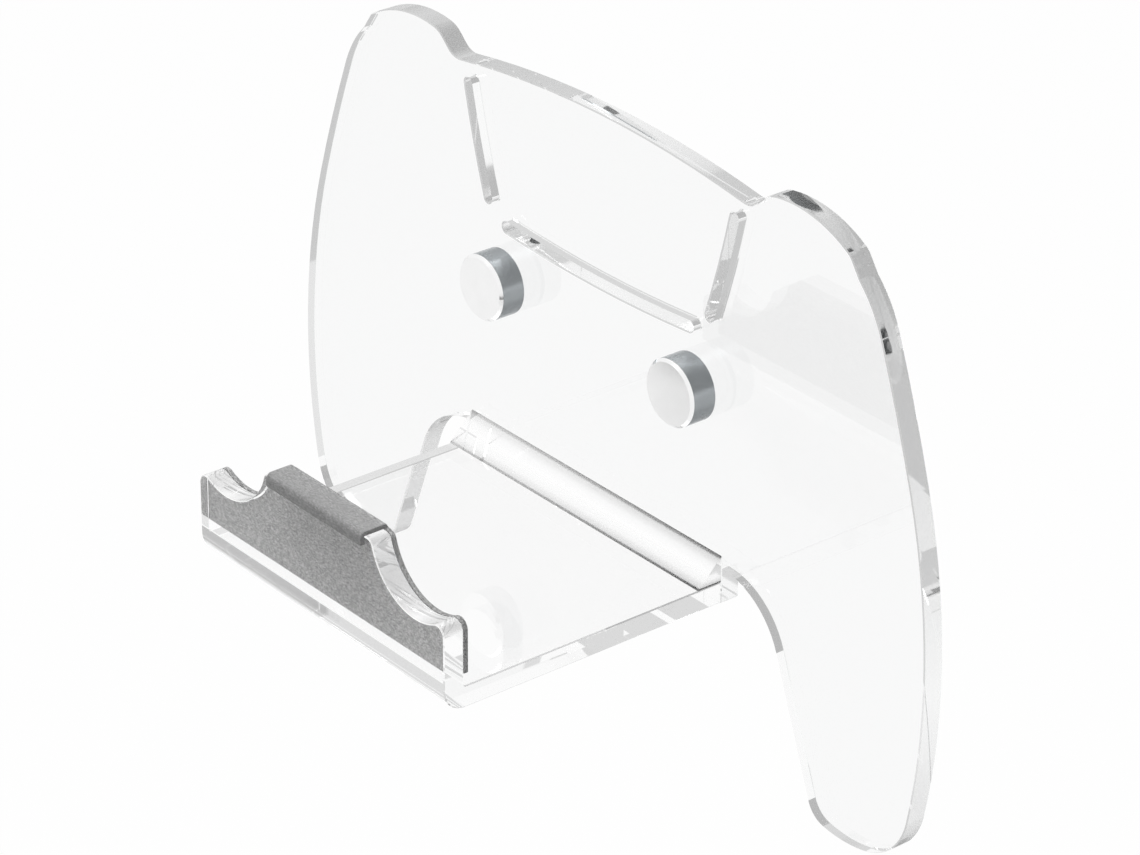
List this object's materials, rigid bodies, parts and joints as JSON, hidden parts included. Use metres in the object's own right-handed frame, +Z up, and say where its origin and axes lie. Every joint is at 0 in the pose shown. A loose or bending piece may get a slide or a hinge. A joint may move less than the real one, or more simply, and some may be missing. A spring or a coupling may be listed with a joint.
{
  "type": "game controller stand",
  "caption": "Clear wall stand for a game controller: a controller-shaped plate held by capped screws, with a bonded shelf whose curved lip is lined in grey felt.",
  "frame": {"origin": "on the plate's wall face, midway between its two screw holes", "axes": "+X to the right of someone who looks at the stand, +Y into the wall, +Z up"},
  "size_m": [0.1652, 0.0629, 0.1095],
  "materials": {
    "plate_acrylic": "clear polished",
    "shelf_acrylic": "clear polished",
    "bar_acrylic": "clear polished",
    "felt": "heathered grey felt",
    "cap_steel": "polished",
    "base_steel": "machined"
  },
  "bodies": {
    "root": {"back_plate": "plate_acrylic", "shelf_and_lip": "shelf_acrylic", "corner_bar": "bar_acrylic", "felt_liner": "felt", "left_cap": "cap_steel", "right_cap": "cap_steel", "left_cap_base": "base_steel", "right_cap_base": "base_steel"}
  },
  "joints": []
}
